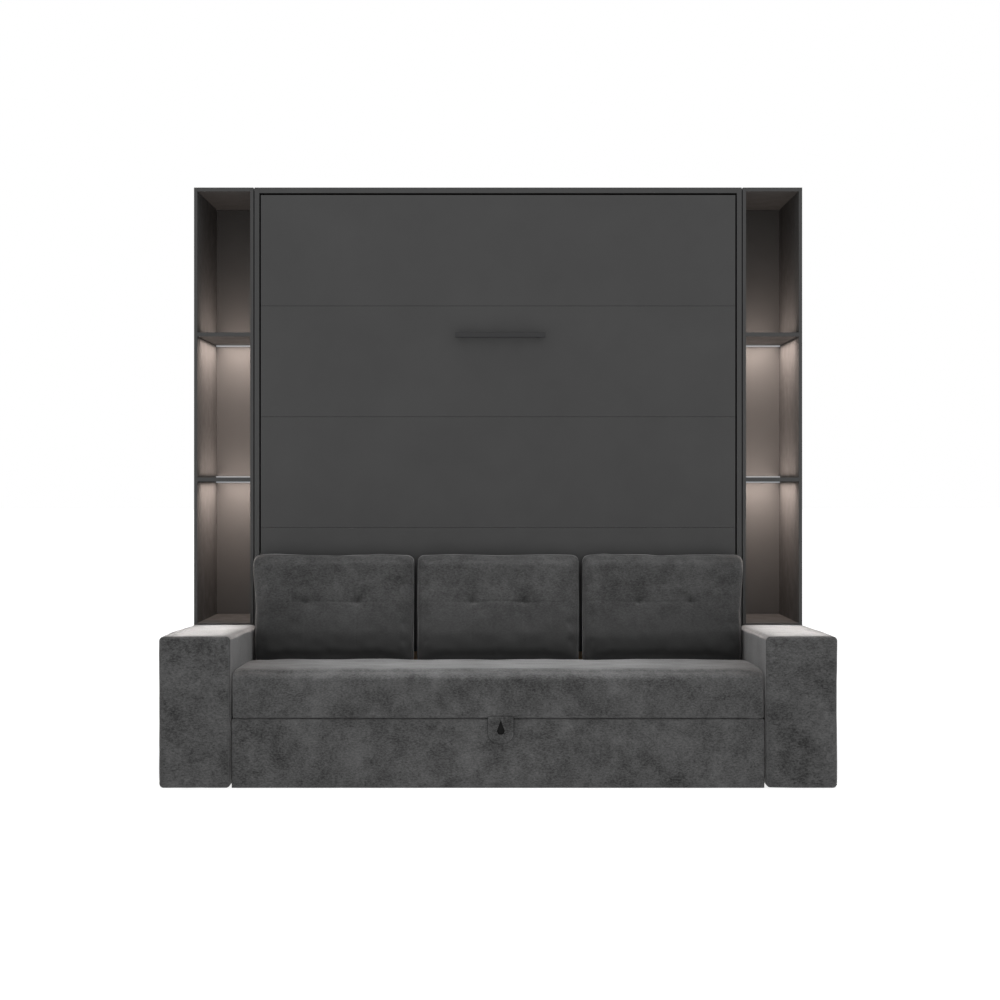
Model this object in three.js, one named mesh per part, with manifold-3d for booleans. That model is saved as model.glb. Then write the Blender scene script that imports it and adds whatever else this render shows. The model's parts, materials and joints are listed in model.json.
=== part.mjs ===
// A murphy wall bed: a double bed that folds into a wall case behind a flush front of equal boards,
// with an open shelf unit on each side and a sofa in front. The seat slides forward over a bedding box.
//
// Millimetres. +X is to the right, +Y goes into the wall, +Z is up. The origin is on the floor at the middle
// of the footprint. Each function below builds one group of pieces, and each mesh is one solid piece.
import * as THREE from "three";
import { RoundedBoxGeometry } from "three/addons/geometries/RoundedBoxGeometry.js";
import { mergeVertices } from "three/addons/utils/BufferGeometryUtils.js";
import Module from "manifold-3d";

const wasm = await Module();
wasm.setup();

// ---- Driving dimensions -------------------------------------------------------------------------------

const WIDTH = 2422; // over the sofa arms
const DEPTH = 1204; // from the front of the sofa to the wall
const HEIGHT = 2263; // to the top of the case
const TOUCH = 0.3; // gap between pieces that touch
const EDGE = 0.6; // chamfer on a board's edges

const WALL_Y = DEPTH / 2;
const SOFA_Y = -DEPTH / 2;
const CASE_DEPTH = 500;
const CASE_Y = WALL_Y - CASE_DEPTH; // front plane of the case, its boards and the shelf units

// Wall case
const CASE_INNER = 948; // half the clear width
const CASE_SIDE = 19;
const CASE_TOP = 22;
const CASE_FLOOR = [60, 82];
const PLINTH_TOP = 150;
const BACK_BOARD = 6;
const WALL_RAIL = { depth: 18, height: 100 };

// Shelf units
const UNIT_INNER = 971; // half the distance between the two units
const UNIT_OUTER = 1207;
const UNIT_SIDE = 13;
const UNIT_TOP = 15;
const SHELF = 16;
const SHELF_TOPS = { niche_floor: 534, shelf_lower: 1112, shelf_upper: 1688 };
const SHELF_REAR_GAP = 18; // from a lit shelf's rear edge to the back board, for the light
const LED = { depth: 7, height: 28 }; // proud of its shelf above and below

// Bed, in its folded position
const PIVOT = { y: CASE_Y + 80, z: 560 };
const FRONT = { half: 941.5, board: 22, top: 2233, low: 422, pitch: 440, count: 4, joint: 0.8, edge: 0.4 };
const RAIL = { inner: 902, outer: 922, depth: 102, low: 178, high: 2222, thick: 20 };
const BEAM = { half: 20, depth: 21.6 };
const SLAT = { count: 14, width: 70, thick: 8, low: 235, high: 2165 };
const SLAT_STRIP = { x: 450, width: 30, thick: 4.5 };
const MATTRESS = { half: 899, rear: 237, thick: 180, low: 201, high: 2199, radius: 32 };
const STRAP = { z: 1300, width: 60, thick: 2.2, anchor: 110 };
const HANDLE = { x: 8.7, length: 357, height: 20, bar: 11, stand: 42, z: 1675, post: 6, posts: 150 };
const CUSHION = { pitch: 634, width: 624, low: 401, high: 812, back: 7, deep: 163, shallow: 104 };
CUSHION.corners = [34, 46, 50, 40, 40, 46];
CUSHION.end = 15; // rounding of a back cushion's two ends

// Mechanism plates, gas struts and folding leg
const PLATE = 3.5;
const PIN_RADIUS = 10;
const STRUT = { x: 935, y: CASE_Y + 300, z: 1100, bedY: CASE_Y + 90, bedZ: 380, tube: 480, reach: 300 };
const STRUT_RADIUS = { tube: 8, bore: 4.5, rod: 4, eye: 9, stud: 4 };
const LEG = { y: CASE_Y + 75, z: 2208, elbow: 40, half: 10, tube: 10, pad: 14, inner: 926, outer: 934 };
const LEG_REST_ANGLE = THREE.MathUtils.degToRad(-69); // of the crossbar about the leg's pivot, bed folded
const LEG_FLOOR_GAP = 2;

// Sofa
const ARM = { inner: 958.6, height: 541, radius: 22 };
const SEAT = { half: 954.5, low: 249.7, high: 423, depth: 504, board: 12, inset: 12, radius: 28 };
const BASE = { half: 954.5, front: 6, board: 28, top: 249, floor: [12, 28], rear: 80, cover: 18 };
const RUNNER = { inner: 905, outer: 945, low: 215 };
const TAB = { x: 9.6, width: 91, drop: 95, thick: 4.5, eye: 14, eyeLow: 30 };

// ---- Materials ----------------------------------------------------------------------------------------

function finish(color, roughness, metalness = 0) {
  return new THREE.MeshStandardMaterial({ color, roughness, metalness });
}
const graphiteBoard = () => finish(0x4a4a4a, 0.62);
const nicheBoard = () => finish(0x57504a, 0.6);
const backBoard = () => finish(0x6b6258, 0.7);
const blackMetal = () => finish(0x1e1e1f, 0.45, 0.6);
const zincSteel = () => finish(0x9a9c9e, 0.38, 0.9);
const chromeRod = () => finish(0xc8cacc, 0.12, 1);
const darkSteel = () => finish(0x333436, 0.5, 0.8);
const frameWood = () => finish(0xb28c5f, 0.6);
const beech = () => finish(0xd2ae7c, 0.55);
const chenille = () => finish(0x4b4b4c, 0.95);
const cushionCloth = () => finish(0x3a3a3c, 0.95);
const ticking = () => finish(0xe9e7e1, 0.9);
const webbing = () => finish(0x26272a, 0.85);
const lightDiffuser = () => finish(0xf4f6ff, 0.3);

// ---- Geometry helpers ---------------------------------------------------------------------------------

const SIDES = [
  { name: "left", sign: -1 },
  { name: "right", sign: 1 },
];

// The span from a to b on one side of the centre plane, lowest first.
function across(sign, a, b) {
  return sign < 0 ? [-b, -a] : [a, b];
}

// A span measured into the wall from the case's front plane.
function into(a, b) {
  return [CASE_Y + a, CASE_Y + b];
}

const middle = (span) => (span[0] + span[1]) / 2;
const length = (span) => span[1] - span[0];

function mesh(name, geometry, material) {
  const made = new THREE.Mesh(geometry, material);
  made.name = name;
  return made;
}

// A rectangular board that fills three spans, with chamfered edges.
function board(name, material, x, y, z, edge = EDGE) {
  const w = length(x) / 2 - edge;
  const h = length(y) / 2 - edge;
  const outline = new THREE.Shape([
    new THREE.Vector2(-w, -h),
    new THREE.Vector2(w, -h),
    new THREE.Vector2(w, h),
    new THREE.Vector2(-w, h),
  ]);
  const depth = length(z) - 2 * edge;
  const geometry = new THREE.ExtrudeGeometry(outline, {
    depth,
    bevelThickness: edge,
    bevelSize: edge,
    bevelSegments: 1,
  });
  geometry.translate(0, 0, -depth / 2);
  const made = mesh(name, geometry, material);
  made.position.set(middle(x), middle(y), middle(z));
  return made;
}

// A soft block that fills three spans, with round edges.
function softBlock(name, material, x, y, z, radius, segments = 3) {
  const geometry = new RoundedBoxGeometry(length(x), length(y), length(z), segments, radius);
  const made = mesh(name, geometry, material);
  made.position.set(middle(x), middle(y), middle(z));
  return made;
}

// Turns a geometry drawn in the XY plane and extruded along Z into one drawn in YZ and extruded along X.
const TO_YZ = new THREE.Matrix4().makeBasis(
  new THREE.Vector3(0, 1, 0),
  new THREE.Vector3(0, 0, 1),
  new THREE.Vector3(1, 0, 0),
);

// An outline in (y, z), extruded over a span of x. A bevel rounds its two ends within that span.
function extrudeX(outline, x, bevel = 0, bevelSegments = 3, curveSegments = 8) {
  const geometry = new THREE.ExtrudeGeometry(outline, {
    depth: length(x) - 2 * bevel,
    bevelEnabled: bevel > 0,
    bevelThickness: bevel,
    bevelSize: bevel,
    bevelOffset: -bevel,
    bevelSegments,
    curveSegments,
  });
  geometry.translate(0, 0, x[0] + bevel);
  return geometry.applyMatrix4(TO_YZ);
}

// A closed outline through the points, with each corner rounded over its own reach.
function roundedOutline(points, reaches) {
  const outline = new THREE.Shape();
  points.forEach((corner, i) => {
    const before = points[(i + points.length - 1) % points.length];
    const after = points[(i + 1) % points.length];
    const start = corner.clone().add(before.clone().sub(corner).setLength(reaches[i]));
    const end = corner.clone().add(after.clone().sub(corner).setLength(reaches[i]));
    if (i === 0) outline.moveTo(start.x, start.y);
    else outline.lineTo(start.x, start.y);
    outline.quadraticCurveTo(corner.x, corner.y, end.x, end.y);
  });
  outline.closePath();
  return outline;
}

// The outline of a flat bar of constant width whose centre line follows the points.
function barOutline(points, half) {
  const edge = (sign) =>
    points.map((point, i) => {
      const back = point.clone().sub(points[Math.max(i - 1, 0)]);
      const ahead = points[Math.min(i + 1, points.length - 1)].clone().sub(point);
      const into = (back.length() ? back : ahead).normalize();
      const out = (ahead.length() ? ahead : into.clone()).normalize();
      const normal = new THREE.Vector2(-into.y - out.y, into.x + out.x).normalize();
      const miter = (sign * half) / Math.max(normal.dot(new THREE.Vector2(-into.y, into.x)), 0.5);
      return point.clone().addScaledVector(normal, miter);
    });
  return new THREE.Shape([...edge(-1), ...edge(1).reverse()]);
}

const at = (y, z) => new THREE.Vector2(y, z);

function cylinderX(radius, x, y, z, sides = 24) {
  const geometry = new THREE.CylinderGeometry(radius, radius, length(x), sides);
  geometry.rotateZ(Math.PI / 2);
  return geometry.translate(middle(x), y, z);
}

function cylinderZ(radius, z, sides = 24) {
  const geometry = new THREE.CylinderGeometry(radius, radius, length(z), sides);
  geometry.rotateX(Math.PI / 2);
  return geometry.translate(0, 0, middle(z));
}

function block(x, y, z) {
  const geometry = new THREE.BoxGeometry(length(x), length(y), length(z));
  return geometry.translate(middle(x), middle(y), middle(z));
}

function toSolid(geometry) {
  const bare = new THREE.BufferGeometry();
  const flat = geometry.index ? geometry.toNonIndexed() : geometry;
  bare.setAttribute("position", flat.getAttribute("position"));
  const merged = mergeVertices(bare, 1e-3);
  return new wasm.Manifold(
    new wasm.Mesh({
      numProp: 3,
      vertProperties: merged.attributes.position.array,
      triVerts: new Uint32Array(merged.index.array),
    }),
  );
}

function toGeometry(solid) {
  const shape = solid.getMesh();
  const geometry = new THREE.BufferGeometry();
  geometry.setAttribute("position", new THREE.BufferAttribute(new Float32Array(shape.vertProperties), 3));
  geometry.setIndex(new THREE.BufferAttribute(new Uint32Array(shape.triVerts), 1));
  geometry.computeVertexNormals();
  return geometry;
}

// One solid made of overlapping geometries, less the ones that are cut away.
function join(added, cut = []) {
  const whole = added.map(toSolid).reduce((sum, next) => sum.add(next));
  return toGeometry(cut.map(toSolid).reduce((rest, next) => rest.subtract(next), whole));
}

// ---- Wall case ----------------------------------------------------------------------------------------

function wallCase() {
  const group = new THREE.Group();
  const inside = [-CASE_INNER + TOUCH, CASE_INNER - TOUCH];
  const ceiling = HEIGHT - CASE_TOP;
  const backFace = CASE_DEPTH - BACK_BOARD;
  for (const { name, sign } of SIDES) {
    const x = across(sign, CASE_INNER, CASE_INNER + CASE_SIDE);
    group.add(board(`case_side_${name}`, graphiteBoard(), x, into(0, CASE_DEPTH), [0, HEIGHT]));
  }
  const toBack = into(0, backFace - TOUCH);
  group.add(board("case_top", graphiteBoard(), inside, into(0, CASE_DEPTH), [ceiling, HEIGHT]));
  const plinthBack = CASE_Y + CASE_SIDE;
  group.add(board("case_plinth", graphiteBoard(), inside, [CASE_Y, plinthBack], [0, PLINTH_TOP]));
  group.add(board("case_floor", graphiteBoard(), inside, [plinthBack + TOUCH, toBack[1]], CASE_FLOOR));
  const backZ = [0, ceiling - TOUCH];
  group.add(board("case_back", backBoard(), inside, into(backFace, CASE_DEPTH), backZ));
  const railY = into(backFace - TOUCH - WALL_RAIL.depth, backFace - TOUCH);
  const railZ = [ceiling - TOUCH - WALL_RAIL.height, ceiling - TOUCH];
  group.add(board("wall_rail", frameWood(), inside, railY, railZ));
  return group;
}

// The steel plate on the inside of each case side: it holds the bed's pivot pin and the strut's upper stud.
function caseMechanismPlates() {
  const group = new THREE.Group();
  const outline = roundedOutline(
    [
      at(PIVOT.y - 42, PIVOT.z - 45),
      at(PIVOT.y + 48, PIVOT.z - 45),
      at(PIVOT.y + 60, PIVOT.z + 130),
      at(STRUT.y + 45, STRUT.z - 40),
      at(STRUT.y + 35, STRUT.z + 32),
      at(STRUT.y - 35, STRUT.z + 32),
      at(PIVOT.y - 42, PIVOT.z + 180),
    ],
    [14, 14, 40, 16, 14, 14, 40],
  );
  for (const { name, sign } of SIDES) {
    const outer = CASE_INNER - TOUCH;
    const plate = extrudeX(outline, across(sign, outer - PLATE, outer));
    const studSpan = across(sign, STRUT.x - 7, outer - PLATE / 2);
    const stud = cylinderX(STRUT_RADIUS.stud, studSpan, STRUT.y, STRUT.z);
    const hole = cylinderX(PIN_RADIUS + 0.2, across(sign, outer - 2 * PLATE, outer + 1), PIVOT.y, PIVOT.z);
    const geometry = join([plate, stud], [hole]);
    group.add(mesh(`case_mechanism_plate_${name}`, geometry, zincSteel()));
  }
  return group;
}

// ---- Shelf units --------------------------------------------------------------------------------------

function shelfUnit({ name, sign }) {
  const group = new THREE.Group();
  const add = (piece, material, x, y, z) =>
    group.add(board(`unit_${name}_${piece}`, material, x, y, z));
  const inner = across(sign, UNIT_INNER, UNIT_INNER + UNIT_SIDE);
  const outer = across(sign, UNIT_OUTER - UNIT_SIDE, UNIT_OUTER);
  const clear = across(sign, UNIT_INNER + UNIT_SIDE + TOUCH, UNIT_OUTER - UNIT_SIDE - TOUCH);
  const backFace = CASE_DEPTH - BACK_BOARD;
  add("inner_side", nicheBoard(), inner, into(0, CASE_DEPTH), [0, HEIGHT]);
  add("outer_side", nicheBoard(), outer, into(0, CASE_DEPTH), [0, HEIGHT]);
  add("top", nicheBoard(), clear, into(0, CASE_DEPTH), [HEIGHT - UNIT_TOP, HEIGHT]);
  const backZ = [0, HEIGHT - UNIT_TOP - TOUCH];
  add("back", backBoard(), clear, into(backFace, CASE_DEPTH), backZ);
  for (const [piece, top] of Object.entries(SHELF_TOPS)) {
    const lit = piece !== "niche_floor";
    const depth = lit ? backFace - SHELF_REAR_GAP : backFace - TOUCH;
    const z = [top - SHELF, top];
    add(piece, nicheBoard(), clear, into(0, depth), z);
    if (!lit) continue;
    const led = into(depth + TOUCH, depth + TOUCH + LED.depth);
    const ledZ = [middle(z) - LED.height / 2, middle(z) + LED.height / 2];
    add(piece.replace("shelf", "led"), lightDiffuser(), clear, led, ledZ);
  }
  return group;
}

// ---- Bed ----------------------------------------------------------------------------------------------

function bedFront() {
  const group = new THREE.Group();
  const x = [-FRONT.half, FRONT.half];
  for (let i = 0; i < FRONT.count; i++) {
    const top = FRONT.top - i * FRONT.pitch - (i ? FRONT.joint / 2 : 0);
    const last = i === FRONT.count - 1;
    const low = last ? FRONT.low : FRONT.top - (i + 1) * FRONT.pitch + FRONT.joint / 2;
    const y = into(0, FRONT.board);
    group.add(board(`bed_front_board_${i + 1}`, graphiteBoard(), x, y, [low, top], FRONT.edge));
  }
  return group;
}

function handle() {
  const front = CASE_Y - HANDLE.stand;
  const halfLength = HANDLE.length / 2;
  const halfHeight = HANDLE.height / 2;
  const bar = board(
    "",
    null,
    [HANDLE.x - halfLength, HANDLE.x + halfLength],
    [front, front + HANDLE.bar],
    [HANDLE.z - halfHeight, HANDLE.z + halfHeight],
    1.5,
  );
  bar.updateMatrixWorld();
  const posts = SIDES.map(({ sign }) => {
    const post = cylinderZ(HANDLE.post, [0, HANDLE.stand - HANDLE.bar / 2 - TOUCH]);
    post.rotateX(-Math.PI / 2);
    return post.translate(HANDLE.x + sign * HANDLE.posts, front + HANDLE.bar / 2, HANDLE.z);
  });
  return mesh("bed_handle", join([bar.geometry.applyMatrix4(bar.matrixWorld), ...posts]), blackMetal());
}

function bedFrame() {
  const group = new THREE.Group();
  const y = into(FRONT.board + TOUCH, FRONT.board + RAIL.depth);
  for (const { name, sign } of SIDES) {
    const x = across(sign, RAIL.inner, RAIL.outer);
    group.add(board(`bed_rail_${name}`, frameWood(), x, y, [RAIL.low, RAIL.high]));
  }
  const between = [-RAIL.inner + TOUCH, RAIL.inner - TOUCH];
  const head = [RAIL.low, RAIL.low + RAIL.thick];
  const foot = [RAIL.high - RAIL.thick, RAIL.high];
  group.add(board("bed_head_rail", frameWood(), between, y, head));
  group.add(board("bed_foot_rail", frameWood(), between, y, foot));
  const beamY = [y[0], y[0] + BEAM.depth];
  const beamZ = [head[1] + TOUCH, foot[0] - TOUCH];
  group.add(board("bed_centre_beam", frameWood(), [-BEAM.half, BEAM.half], beamY, beamZ));
  group.add(mesh("slat_base", slatBase(beamY[1] + TOUCH, between), beech()));
  return group;
}

// Sprung slats joined by two holder strips on their underside, one each side of the centre beam.
function slatBase(y, x) {
  const pitch = (SLAT.high - SLAT.low - SLAT.width) / (SLAT.count - 1);
  const slats = Array.from({ length: SLAT.count }, (_, i) => {
    const low = SLAT.low + i * pitch;
    return block([x[0] + TOUCH, x[1] - TOUCH], [y, y + SLAT.thick], [low, low + SLAT.width]);
  });
  const strips = SIDES.map(({ sign }) => {
    const centre = sign * SLAT_STRIP.x;
    const half = SLAT_STRIP.width / 2;
    const span = [y - SLAT_STRIP.thick, y + SLAT.thick / 2];
    return block([centre - half, centre + half], span, [SLAT.low, SLAT.high]);
  });
  return join([...slats, ...strips]);
}

function bedding() {
  const group = new THREE.Group();
  const x = [-MATTRESS.half, MATTRESS.half];
  const y = into(MATTRESS.rear - MATTRESS.thick, MATTRESS.rear);
  const z = [MATTRESS.low, MATTRESS.high];
  group.add(softBlock("mattress", ticking(), x, y, z, MATTRESS.radius));
  group.add(mesh("mattress_strap", strapGeometry(), webbing()));
  return group;
}

// A flat strap over the mattress and down both of its sides, between the mattress and the bed rails.
function strapGeometry() {
  const outer = RAIL.inner - TOUCH;
  const inner = outer - STRAP.thick;
  const rear = CASE_Y + MATTRESS.rear + TOUCH;
  const z = [STRAP.z - STRAP.width / 2, STRAP.z + STRAP.width / 2];
  const whole = block([-outer, outer], [CASE_Y + STRAP.anchor, rear + STRAP.thick], z);
  const hollow = block([-inner, inner], [CASE_Y, rear], [z[0] - 1, z[1] + 1]);
  return join([whole], [hollow]);
}

// A back cushion is thicker at its foot than at its top, and hangs flat against the front boards.
function backCushions() {
  const group = new THREE.Group();
  const back = CASE_Y - CUSHION.back;
  const outline = roundedOutline(
    [
      at(back, CUSHION.low),
      at(back, CUSHION.high),
      at(back - CUSHION.shallow, CUSHION.high),
      at(back - CUSHION.shallow - 12, CUSHION.high - 130),
      at(back - CUSHION.deep, CUSHION.low + 90),
      at(back - CUSHION.deep, CUSHION.low),
    ],
    CUSHION.corners,
  );
  ["left", "centre", "right"].forEach((name, i) => {
    const centre = (i - 1) * CUSHION.pitch;
    const span = [centre - CUSHION.width / 2, centre + CUSHION.width / 2];
    const geometry = extrudeX(outline, span, CUSHION.end, 2, 5);
    group.add(mesh(`back_cushion_${name}`, geometry, cushionCloth()));
  });
  return group;
}

// The steel plate on the outside of each bed rail: it carries the pivot pin and faces the strut's rod end.
function bedMechanismPlates() {
  const group = new THREE.Group();
  const outline = roundedOutline(
    [
      at(PIVOT.y - 40, STRUT.bedZ - 35),
      at(STRUT.bedY + 26, STRUT.bedZ - 35),
      at(PIVOT.y + 38, PIVOT.z + 45),
      at(PIVOT.y - 40, PIVOT.z + 45),
    ],
    [12, 12, 12, 12],
  );
  for (const { name, sign } of SIDES) {
    const inner = RAIL.outer + TOUCH;
    const plate = extrudeX(outline, across(sign, inner, inner + PLATE));
    const pin = cylinderX(PIN_RADIUS, across(sign, inner + 1, CASE_INNER - 2 * TOUCH), PIVOT.y, PIVOT.z);
    group.add(mesh(`bed_mechanism_plate_${name}`, join([plate, pin]), zincSteel()));
  }
  return group;
}

// ---- Gas struts ---------------------------------------------------------------------------------------

// Drawn along local +Z from the case stud, then turned towards the bed's end of the strut.
function gasStrut({ name, sign }) {
  const group = new THREE.Group();
  group.position.set(sign * STRUT.x, STRUT.y, STRUT.z);
  const toBed = at(STRUT.bedY - STRUT.y, STRUT.bedZ - STRUT.z);
  group.rotation.x = Math.atan2(-toBed.x, toBed.y);
  const { tube, bore, rod, eye, stud } = STRUT_RADIUS;
  const eyeSpan = across(sign, -8, 0);
  const body = [
    cylinderZ(tube, [eye + 6, STRUT.tube]),
    cylinderX(eye, eyeSpan, 0, 0),
    cylinderZ(rod, [eye - 2, eye + 8]),
  ];
  const hollow = cylinderZ(bore, [40, STRUT.tube + 1]);
  const studHole = cylinderX(stud + 0.25, [-9, 9], 0, 0);
  group.add(mesh(`strut_cylinder_${name}`, join(body, [hollow, studHole]), blackMetal()));
  const full = toBed.length();
  const stem = cylinderZ(rod, [full - STRUT.reach, full - eye + 2]);
  const rodEye = cylinderX(eye, eyeSpan, 0, full);
  group.add(mesh(`strut_rod_${name}`, join([stem, rodEye]), chromeRod()));
  return group;
}

// ---- Folding leg --------------------------------------------------------------------------------------

// One welded frame under the foot of the bed. Drawn as it stands with the bed down, where -Y points to the
// floor, then turned back to its folded place behind the mattress. Its arms step round the front boards.
function foldingLeg() {
  const reach = LEG.y - PIVOT.y + PIVOT.z - LEG_FLOOR_GAP;
  const tubeY = LEG.tube + 4 - reach;
  const bend = LEG.elbow * 0.45;
  const arm = barOutline(
    [at(0, -LEG.half), at(0, LEG.elbow - bend), at(-bend, LEG.elbow), at(tubeY, LEG.elbow)],
    LEG.half,
  );
  const arms = SIDES.map(({ sign }) => extrudeX(arm, across(sign, LEG.inner, LEG.outer)));
  const middleOfArm = (LEG.inner + LEG.outer) / 2;
  const crossbar = cylinderX(LEG.tube, [-middleOfArm, middleOfArm], tubeY, LEG.elbow);
  const pads = SIDES.map(({ sign }) => {
    const pad = cylinderZ(LEG.pad, [0, LEG.tube + 4]);
    pad.rotateX(Math.PI / 2);
    return pad.translate(sign * (LEG.inner - 60), tubeY, LEG.elbow);
  });
  const made = mesh("folding_leg", join([...arms, crossbar, ...pads]), darkSteel());
  made.position.set(0, LEG.y, LEG.z);
  made.rotation.x = LEG_REST_ANGLE - Math.atan2(LEG.elbow, tubeY);
  return made;
}

// ---- Sofa ---------------------------------------------------------------------------------------------

function sofaArms() {
  const group = new THREE.Group();
  for (const { name, sign } of SIDES) {
    const x = across(sign, ARM.inner, WIDTH / 2);
    const y = [SOFA_Y, CASE_Y - 4];
    group.add(softBlock(`sofa_arm_${name}`, chenille(), x, y, [0, ARM.height], ARM.radius));
  }
  return group;
}

// The bedding box under the seat: a front, a floor, and a back with a cover that runs to the wall case.
function sofaBase() {
  const group = new THREE.Group();
  const x = [-BASE.half, BASE.half];
  const front = SOFA_Y + BASE.front;
  const inside = front + BASE.board + TOUCH;
  const frontY = [front, front + BASE.board];
  group.add(softBlock("base_front", chenille(), x, frontY, [0, BASE.top - 2], 6, 2));
  const rearFace = BASE.rear - BASE.cover;
  group.add(board("base_floor", frameWood(), x, [inside, rearFace - TOUCH], BASE.floor));
  const seatRear = SOFA_Y + SEAT.depth;
  const back = new THREE.Shape([
    at(rearFace, 0),
    at(BASE.rear, 0),
    at(BASE.rear, BASE.top),
    at(seatRear + 2, BASE.top),
    at(seatRear + 2, BASE.top - BASE.cover),
    at(rearFace, BASE.top - BASE.cover),
  ]);
  group.add(mesh("base_back", extrudeX(back, x), graphiteBoard()));
  for (const { name, sign } of SIDES) {
    const runnerX = across(sign, RUNNER.inner, RUNNER.outer);
    const runnerY = [inside, seatRear - 10];
    const runnerZ = [RUNNER.low, BASE.top];
    group.add(board(`seat_runner_${name}`, zincSteel(), runnerX, runnerY, runnerZ));
  }
  return group;
}

function seat() {
  const group = new THREE.Group();
  const y = [SOFA_Y, SOFA_Y + SEAT.depth];
  const boardTop = SEAT.low + SEAT.board;
  const inX = [-SEAT.half + SEAT.inset, SEAT.half - SEAT.inset];
  const inY = [y[0] + SEAT.inset, y[1] - SEAT.inset];
  group.add(board("seat_board", frameWood(), inX, inY, [SEAT.low, boardTop]));
  const x = [-SEAT.half, SEAT.half];
  const z = [boardTop + TOUCH, SEAT.high];
  group.add(softBlock("seat_cushion", chenille(), x, y, z, SEAT.radius));
  group.add(mesh("seat_pull_tab", pullTabGeometry(), chenille()));
  return group;
}

// A cloth tab sewn under the seat's front edge, with a drop-shaped eye for the fingers.
function pullTabGeometry() {
  const half = TAB.width / 2;
  const top = SEAT.low + SEAT.board / 2;
  const low = top - TAB.drop;
  const corner = 34;
  const tab = new THREE.Shape();
  tab.moveTo(-half, top);
  tab.lineTo(-half, low + corner);
  tab.quadraticCurveTo(-half, low, -half + corner, low);
  tab.lineTo(half - corner, low);
  tab.quadraticCurveTo(half, low, half, low + corner);
  tab.lineTo(half, top);
  tab.closePath();
  const eyeZ = low + TAB.eyeLow + TAB.eye;
  const eye = new THREE.Path();
  eye.moveTo(0, top - 12);
  eye.lineTo(-TAB.eye, eyeZ);
  eye.absarc(0, eyeZ, TAB.eye, Math.PI, 2 * Math.PI, false);
  eye.lineTo(0, top - 12);
  tab.holes.push(eye);
  const geometry = new THREE.ExtrudeGeometry(tab, { depth: TAB.thick, bevelEnabled: false, curveSegments: 6 });
  geometry.rotateX(Math.PI / 2);
  return geometry.translate(TAB.x, SOFA_Y + BASE.front - TOUCH, 0);
}

// ---- Assembly -----------------------------------------------------------------------------------------

const wallBed = new THREE.Group();
wallBed.name = "murphy_wall_bed";
wallBed.add(wallCase(), caseMechanismPlates());
SIDES.forEach((side) => wallBed.add(shelfUnit(side)));
wallBed.add(bedFront(), handle(), bedFrame(), bedding(), backCushions(), bedMechanismPlates());
SIDES.forEach((side) => wallBed.add(gasStrut(side)));
wallBed.add(foldingLeg());
wallBed.add(sofaArms(), sofaBase(), seat());

export default wallBed;
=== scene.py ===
"""The looks of the murphy wall bed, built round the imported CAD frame.

Metres, +X right, +Y into the wall, +Z up.
"""

import json
import math

import bpy
import numpy as np
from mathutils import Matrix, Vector
from mathutils.bvhtree import BVHTree


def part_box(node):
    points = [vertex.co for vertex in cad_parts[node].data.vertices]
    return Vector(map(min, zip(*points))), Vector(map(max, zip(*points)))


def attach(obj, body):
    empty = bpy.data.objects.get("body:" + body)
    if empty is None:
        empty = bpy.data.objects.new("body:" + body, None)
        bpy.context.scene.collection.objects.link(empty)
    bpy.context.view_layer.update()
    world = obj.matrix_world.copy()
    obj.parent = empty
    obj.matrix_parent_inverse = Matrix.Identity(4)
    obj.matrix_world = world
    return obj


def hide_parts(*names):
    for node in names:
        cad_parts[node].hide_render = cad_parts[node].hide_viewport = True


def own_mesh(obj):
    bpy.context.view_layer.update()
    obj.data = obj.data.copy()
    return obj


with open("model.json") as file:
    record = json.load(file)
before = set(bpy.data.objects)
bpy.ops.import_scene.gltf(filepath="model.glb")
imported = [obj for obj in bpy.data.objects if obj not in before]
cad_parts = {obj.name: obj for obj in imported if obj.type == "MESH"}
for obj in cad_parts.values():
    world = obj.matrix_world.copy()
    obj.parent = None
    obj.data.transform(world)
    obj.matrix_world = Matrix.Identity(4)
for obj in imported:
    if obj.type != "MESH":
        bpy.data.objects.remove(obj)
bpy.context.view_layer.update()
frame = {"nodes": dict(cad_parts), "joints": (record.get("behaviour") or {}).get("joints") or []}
NODES = frame["nodes"]
MM = 0.001


def corners(node):
    """The lowest and highest corner of a CAD node, as arrays."""
    low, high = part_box(node)
    return np.array(low), np.array(high)


PLACES = {joint["name"]: joint.get("pos_m") for joint in frame["joints"]}

# ---- Camera, lights and stage ---------------------------------------------------------------------------

scene = bpy.context.scene
scene.view_settings.view_transform = "Standard"
camera_data = bpy.data.cameras.new("camera")
camera = bpy.data.objects.new("camera", camera_data)
scene.collection.objects.link(camera)
scene.camera = camera
camera.location = (0, -6.998, 1.102)
camera.rotation_euler = (math.pi / 2, 0, 0)
camera_data.lens = 64.4
camera_data.sensor_width = 36
camera_data.shift_x = 0.0019
camera_data.shift_y = -0.020

world = bpy.data.worlds.new("studio")
scene.world = world
world.use_nodes = True
world.node_tree.nodes["Background"].inputs["Color"].default_value = (1, 1, 1, 1)
world.node_tree.nodes["Background"].inputs["Strength"].default_value = 1.0


def area_light(name, place, target, size, power, color=(1, 1, 1), spread=180):
    """A rectangular lamp at place, turned to target. spread is its beam's full angle in degrees."""
    data = bpy.data.lights.new(name, "AREA")
    data.shape = "RECTANGLE"
    data.size, data.size_y = size
    data.energy = power
    data.color = color
    data.spread = math.radians(spread)
    light = bpy.data.objects.new(name, data)
    scene.collection.objects.link(light)
    light.location = place
    way = Vector(target) - Vector(place)
    light.rotation_euler = way.to_track_quat("-Z", "Y").to_euler()
    light.visible_camera = False
    return light


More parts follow.
